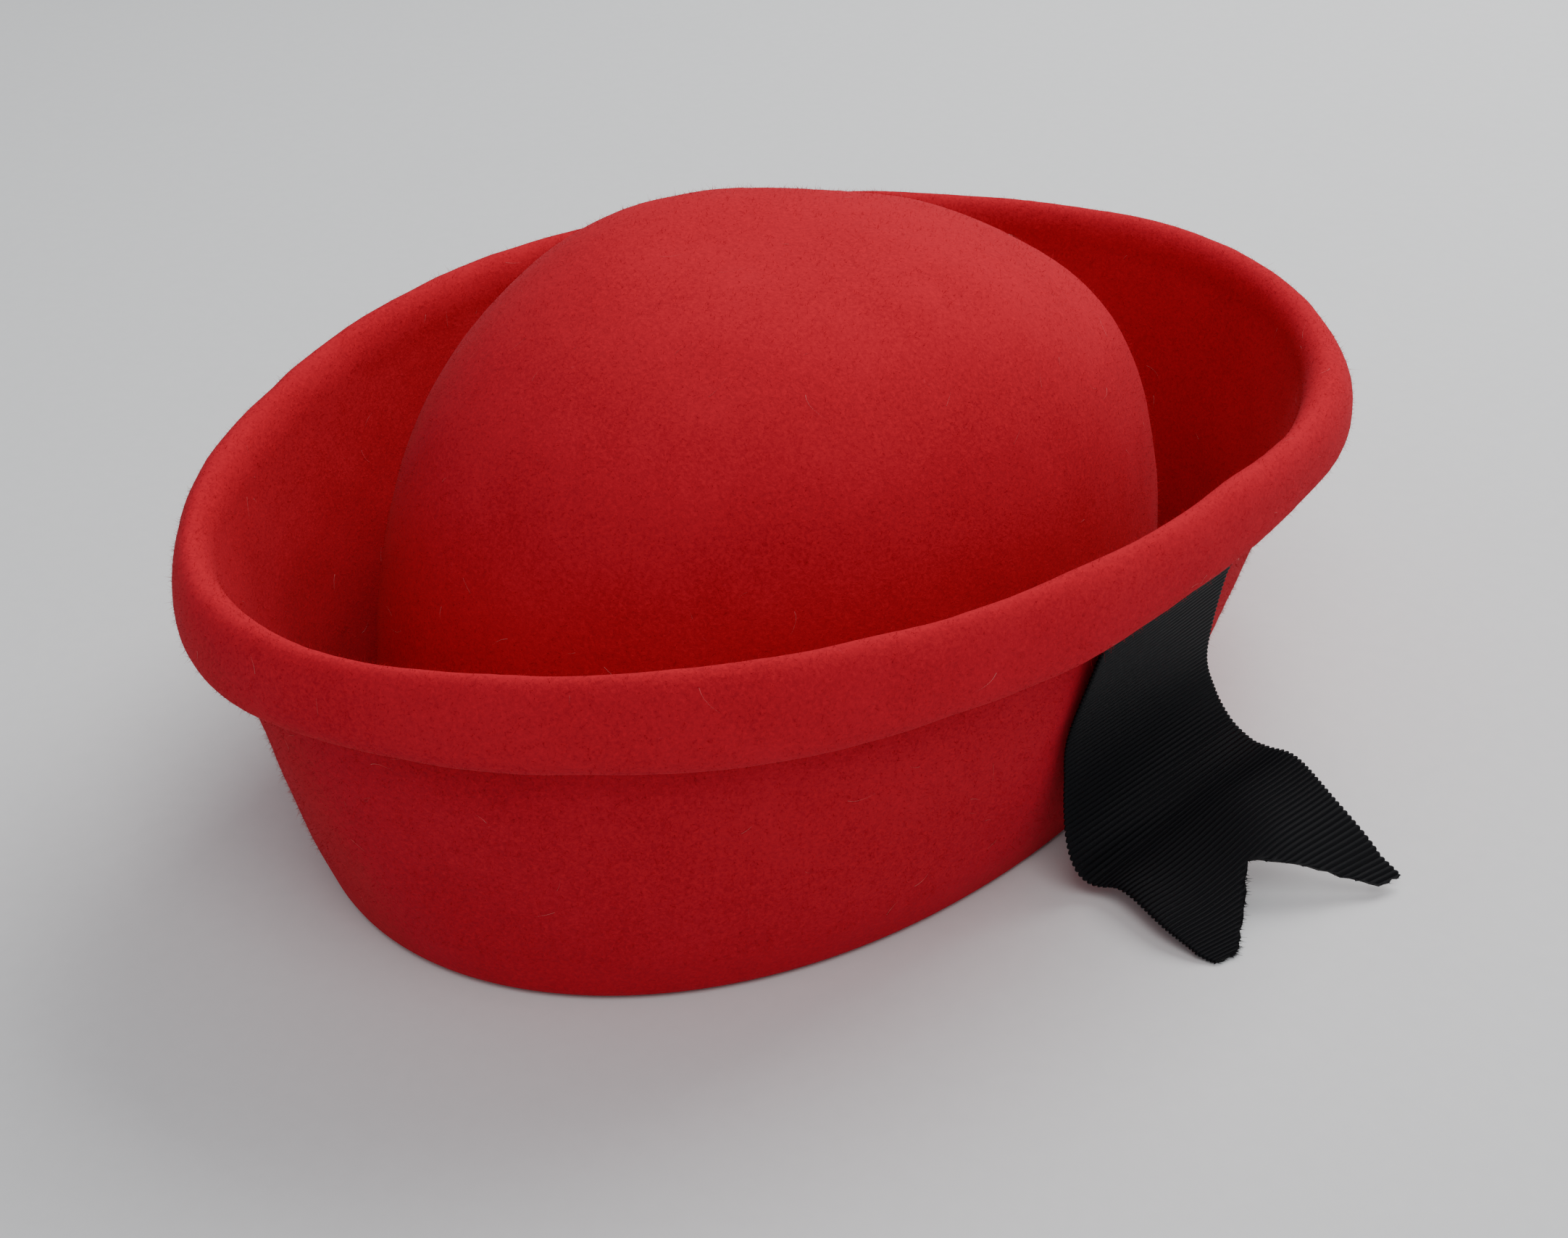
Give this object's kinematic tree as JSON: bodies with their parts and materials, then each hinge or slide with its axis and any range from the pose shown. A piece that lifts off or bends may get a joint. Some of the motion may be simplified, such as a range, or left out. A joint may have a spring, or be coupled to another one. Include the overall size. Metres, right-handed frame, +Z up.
{
  "type": "felt hat",
  "caption": "Soft felt hat with a domed crown inside a deep upturned brim with a rolled edge, and a ribbon tail at one side.",
  "frame": {"origin": "below the middle of the whole part's box, on the surface that the hat rests on", "axes": "+Z up, -Y the way the wearer faces, +X the wearer's left"},
  "size_m": [0.239, 0.279, 0.1277],
  "materials": {
    "felt": "matt fuzzy felt",
    "ribbon": "soft satin ribs"
  },
  "bodies": {
    "root": {"felt_hat": "felt", "ribbon_tail": "ribbon"}
  },
  "joints": []
}
